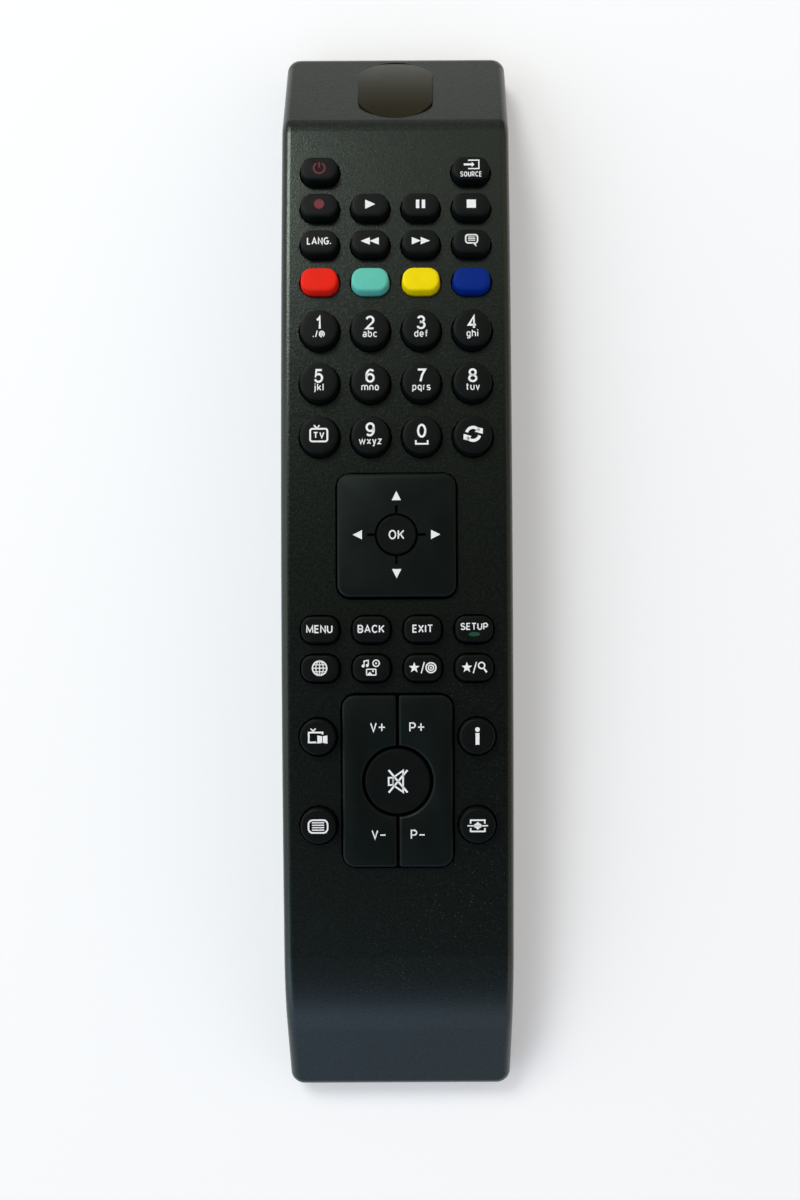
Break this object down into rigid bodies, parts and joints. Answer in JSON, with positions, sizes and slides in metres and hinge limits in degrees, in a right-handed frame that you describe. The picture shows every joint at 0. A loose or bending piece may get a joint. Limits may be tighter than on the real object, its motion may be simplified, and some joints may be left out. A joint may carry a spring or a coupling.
{
  "type": "tv remote control",
  "caption": "Slim arched handheld remote with rubber keys, a four-way plate round a centre key, two rocker halves round a mute key, an infrared window and a sliding battery cover.",
  "frame": {"origin": "middle of the flat back, on the surface that the remote lies on", "axes": "+Z out of the key side, +Y towards the nose with the infrared window, +X to the right as seen from the key side with the nose up"},
  "size_m": [0.048, 0.226, 0.023],
  "materials": {
    "housing_upper": "fine spark-textured black ABS",
    "housing_lower": "spark-textured black ABS",
    "plates": "satin black ABS",
    "infrared_window": "polished dark amber that lets infrared through",
    "key_rubber": "matte dark grey silicone with a printed top",
    "key_red": "satin red",
    "key_green": "satin mint green",
    "key_yellow": "satin yellow",
    "key_blue": "satin blue",
    "board": "green printed circuit laminate",
    "diode": "clear resin",
    "chip": "moulded epoxy",
    "resonator": "dipped ceramic",
    "capacitor": "sleeved can",
    "resistors": "glazed chip",
    "contact_metal": "nickel-plated spring steel",
    "cells": "plain sleeve",
    "screw_steel": "zinc-plated"
  },
  "bodies": {
    "housing": {"top_shell": "housing_upper", "bottom_shell": "housing_lower", "ir_window": "infrared_window", "keypad_mat": "key_rubber", "circuit_board": "board", "ir_diode": "diode", "controller_chip": "chip", "resonator": "resonator", "capacitor": "capacitor", "resistors": "resistors", "battery_contacts": "contact_metal", "battery_springs": "contact_metal", "battery_cells": "cells", "housing_screws": "screw_steel"},
    "battery_cover": {"battery_cover": "housing_lower"},
    "dpad_pivot": {"dpad_pivot": "housing_lower"},
    "dpad_plate": {"dpad_plate": "plates"},
    "volume_rocker": {"volume_rocker": "plates"},
    "programme_rocker": {"programme_rocker": "plates"},
    "key_power": {"key_power": "key_rubber"},
    "key_source": {"key_source": "key_rubber"},
    "key_record": {"key_record": "key_rubber"},
    "key_play": {"key_play": "key_rubber"},
    "key_pause": {"key_pause": "key_rubber"},
    "key_stop": {"key_stop": "key_rubber"},
    "key_language": {"key_language": "key_rubber"},
    "key_rewind": {"key_rewind": "key_rubber"},
    "key_forward": {"key_forward": "key_rubber"},
    "key_subtitle": {"key_subtitle": "key_rubber"},
    "key_red": {"key_red": "key_red"},
    "key_green": {"key_green": "key_green"},
    "key_yellow": {"key_yellow": "key_yellow"},
    "key_blue": {"key_blue": "key_blue"},
    "key_1": {"key_1": "key_rubber"},
    "key_2": {"key_2": "key_rubber"},
    "key_3": {"key_3": "key_rubber"},
    "key_4": {"key_4": "key_rubber"},
    "key_5": {"key_5": "key_rubber"},
    "key_6": {"key_6": "key_rubber"},
    "key_7": {"key_7": "key_rubber"},
    "key_8": {"key_8": "key_rubber"},
    "key_tv": {"key_tv": "key_rubber"},
    "key_9": {"key_9": "key_rubber"},
    "key_0": {"key_0": "key_rubber"},
    "key_swap": {"key_swap": "key_rubber"},
    "key_menu": {"key_menu": "key_rubber"},
    "key_back": {"key_back": "key_rubber"},
    "key_exit": {"key_exit": "key_rubber"},
    "key_quick_menu": {"key_quick_menu": "key_rubber"},
    "key_internet": {"key_internet": "key_rubber"},
    "key_media": {"key_media": "key_rubber"},
    "key_favourite_1": {"key_favourite_1": "key_rubber"},
    "key_favourite_2": {"key_favourite_2": "key_rubber"},
    "key_guide": {"key_guide": "key_rubber"},
    "key_info": {"key_info": "key_rubber"},
    "key_text": {"key_text": "key_rubber"},
    "key_screen": {"key_screen": "key_rubber"},
    "key_ok": {"key_ok": "key_rubber"},
    "key_mute": {"key_mute": "key_rubber"}
  },
  "joints": [
    {"name": "battery_cover_slide", "type": "slide", "parent": "housing", "child": "battery_cover", "axis": [0, -1, 0], "range_m": [0, 0.075]},
    {"name": "dpad_up_down", "type": "hinge", "parent": "housing", "child": "dpad_pivot", "pos_m": [0, 0.0043, 0.0174], "axis": [1, 0, 0], "range_deg": [-2.5, 2.5], "stiffness_Nm_per_rad": 0.4},
    {"name": "dpad_left_right", "type": "hinge", "parent": "dpad_pivot", "child": "dpad_plate", "pos_m": [0, 0.0043, 0.0174], "axis": [0, 1, 0], "range_deg": [-2.5, 2.5], "stiffness_Nm_per_rad": 0.4},
    {"name": "volume_rocker_tilt", "type": "hinge", "parent": "housing", "child": "volume_rocker", "pos_m": [-0.006, -0.046, 0.0175], "axis": [1, 0, 0], "range_deg": [-2, 2], "stiffness_Nm_per_rad": 0.7},
    {"name": "programme_rocker_tilt", "type": "hinge", "parent": "housing", "child": "programme_rocker", "pos_m": [0.006, -0.046, 0.0175], "axis": [1, 0, 0], "range_deg": [-2, 2], "stiffness_Nm_per_rad": 0.7},
    {"name": "key_power_press", "type": "slide", "parent": "housing", "child": "key_power", "axis": [0, 0, -1], "range_m": [0, 0.0008], "stiffness_N_per_m": 1000},
    {"name": "key_source_press", "type": "slide", "parent": "housing", "child": "key_source", "axis": [0, 0, -1], "range_m": [0, 0.0008], "stiffness_N_per_m": 1000},
    {"name": "key_record_press", "type": "slide", "parent": "housing", "child": "key_record", "axis": [0, 0, -1], "range_m": [0, 0.0008], "stiffness_N_per_m": 1000},
    {"name": "key_play_press", "type": "slide", "parent": "housing", "child": "key_play", "axis": [0, 0, -1], "range_m": [0, 0.0008], "stiffness_N_per_m": 1000},
    {"name": "key_pause_press", "type": "slide", "parent": "housing", "child": "key_pause", "axis": [0, 0, -1], "range_m": [0, 0.0008], "stiffness_N_per_m": 1000},
    {"name": "key_stop_press", "type": "slide", "parent": "housing", "child": "key_stop", "axis": [0, 0, -1], "range_m": [0, 0.0008], "stiffness_N_per_m": 1000},
    {"name": "key_language_press", "type": "slide", "parent": "housing", "child": "key_language", "axis": [0, 0, -1], "range_m": [0, 0.0008], "stiffness_N_per_m": 1000},
    {"name": "key_rewind_press", "type": "slide", "parent": "housing", "child": "key_rewind", "axis": [0, 0, -1], "range_m": [0, 0.0008], "stiffness_N_per_m": 1000},
    {"name": "key_forward_press", "type": "slide", "parent": "housing", "child": "key_forward", "axis": [0, 0, -1], "range_m": [0, 0.0008], "stiffness_N_per_m": 1000},
    {"name": "key_subtitle_press", "type": "slide", "parent": "housing", "child": "key_subtitle", "axis": [0, 0, -1], "range_m": [0, 0.0008], "stiffness_N_per_m": 1000},
    {"name": "key_red_press", "type": "slide", "parent": "housing", "child": "key_red", "axis": [0, 0, -1], "range_m": [0, 0.0008], "stiffness_N_per_m": 1000},
    {"name": "key_green_press", "type": "slide", "parent": "housing", "child": "key_green", "axis": [0, 0, -1], "range_m": [0, 0.0008], "stiffness_N_per_m": 1000},
    {"name": "key_yellow_press", "type": "slide", "parent": "housing", "child": "key_yellow", "axis": [0, 0, -1], "range_m": [0, 0.0008], "stiffness_N_per_m": 1000},
    {"name": "key_blue_press", "type": "slide", "parent": "housing", "child": "key_blue", "axis": [0, 0, -1], "range_m": [0, 0.0008], "stiffness_N_per_m": 1000},
    {"name": "key_1_press", "type": "slide", "parent": "housing", "child": "key_1", "axis": [0, 0, -1], "range_m": [0, 0.0008], "stiffness_N_per_m": 1000},
    {"name": "key_2_press", "type": "slide", "parent": "housing", "child": "key_2", "axis": [0, 0, -1], "range_m": [0, 0.0008], "stiffness_N_per_m": 1000},
    {"name": "key_3_press", "type": "slide", "parent": "housing", "child": "key_3", "axis": [0, 0, -1], "range_m": [0, 0.0008], "stiffness_N_per_m": 1000},
    {"name": "key_4_press", "type": "slide", "parent": "housing", "child": "key_4", "axis": [0, 0, -1], "range_m": [0, 0.0008], "stiffness_N_per_m": 1000},
    {"name": "key_5_press", "type": "slide", "parent": "housing", "child": "key_5", "axis": [0, 0, -1], "range_m": [0, 0.0008], "stiffness_N_per_m": 1000},
    {"name": "key_6_press", "type": "slide", "parent": "housing", "child": "key_6", "axis": [0, 0, -1], "range_m": [0, 0.0008], "stiffness_N_per_m": 1000},
    {"name": "key_7_press", "type": "slide", "parent": "housing", "child": "key_7", "axis": [0, 0, -1], "range_m": [0, 0.0008], "stiffness_N_per_m": 1000},
    {"name": "key_8_press", "type": "slide", "parent": "housing", "child": "key_8", "axis": [0, 0, -1], "range_m": [0, 0.0008], "stiffness_N_per_m": 1000},
    {"name": "key_tv_press", "type": "slide", "parent": "housing", "child": "key_tv", "axis": [0, 0, -1], "range_m": [0, 0.0008], "stiffness_N_per_m": 1000},
    {"name": "key_9_press", "type": "slide", "parent": "housing", "child": "key_9", "axis": [0, 0, -1], "range_m": [0, 0.0008], "stiffness_N_per_m": 1000},
    {"name": "key_0_press", "type": "slide", "parent": "housing", "child": "key_0", "axis": [0, 0, -1], "range_m": [0, 0.0008], "stiffness_N_per_m": 1000},
    {"name": "key_swap_press", "type": "slide", "parent": "housing", "child": "key_swap", "axis": [0, 0, -1], "range_m": [0, 0.0008], "stiffness_N_per_m": 1000},
    {"name": "key_menu_press", "type": "slide", "parent": "housing", "child": "key_menu", "axis": [0, 0, -1], "range_m": [0, 0.0008], "stiffness_N_per_m": 1000},
    {"name": "key_back_press", "type": "slide", "parent": "housing", "child": "key_back", "axis": [0, 0, -1], "range_m": [0, 0.0008], "stiffness_N_per_m": 1000},
    {"name": "key_exit_press", "type": "slide", "parent": "housing", "child": "key_exit", "axis": [0, 0, -1], "range_m": [0, 0.0008], "stiffness_N_per_m": 1000},
    {"name": "key_quick_menu_press", "type": "slide", "parent": "housing", "child": "key_quick_menu", "axis": [0, 0, -1], "range_m": [0, 0.0008], "stiffness_N_per_m": 1000},
    {"name": "key_internet_press", "type": "slide", "parent": "housing", "child": "key_internet", "axis": [0, 0, -1], "range_m": [0, 0.0008], "stiffness_N_per_m": 1000},
    {"name": "key_media_press", "type": "slide", "parent": "housing", "child": "key_media", "axis": [0, 0, -1], "range_m": [0, 0.0008], "stiffness_N_per_m": 1000},
    {"name": "key_favourite_1_press", "type": "slide", "parent": "housing", "child": "key_favourite_1", "axis": [0, 0, -1], "range_m": [0, 0.0008], "stiffness_N_per_m": 1000},
    {"name": "key_favourite_2_press", "type": "slide", "parent": "housing", "child": "key_favourite_2", "axis": [0, 0, -1], "range_m": [0, 0.0008], "stiffness_N_per_m": 1000},
    {"name": "key_guide_press", "type": "slide", "parent": "housing", "child": "key_guide", "axis": [0, 0, -1], "range_m": [0, 0.0008], "stiffness_N_per_m": 1000},
    {"name": "key_info_press", "type": "slide", "parent": "housing", "child": "key_info", "axis": [0, 0, -1], "range_m": [0, 0.0008], "stiffness_N_per_m": 1000},
    {"name": "key_text_press", "type": "slide", "parent": "housing", "child": "key_text", "axis": [0, 0, -1], "range_m": [0, 0.0008], "stiffness_N_per_m": 1000},
    {"name": "key_screen_press", "type": "slide", "parent": "housing", "child": "key_screen", "axis": [0, 0, -1], "range_m": [0, 0.0008], "stiffness_N_per_m": 1000},
    {"name": "key_ok_press", "type": "slide", "parent": "housing", "child": "key_ok", "axis": [0, 0, -1], "range_m": [0, 0.0008], "stiffness_N_per_m": 1000},
    {"name": "key_mute_press", "type": "slide", "parent": "housing", "child": "key_mute", "axis": [0, 0, -1], "range_m": [0, 0.0008], "stiffness_N_per_m": 1000}
  ]
}
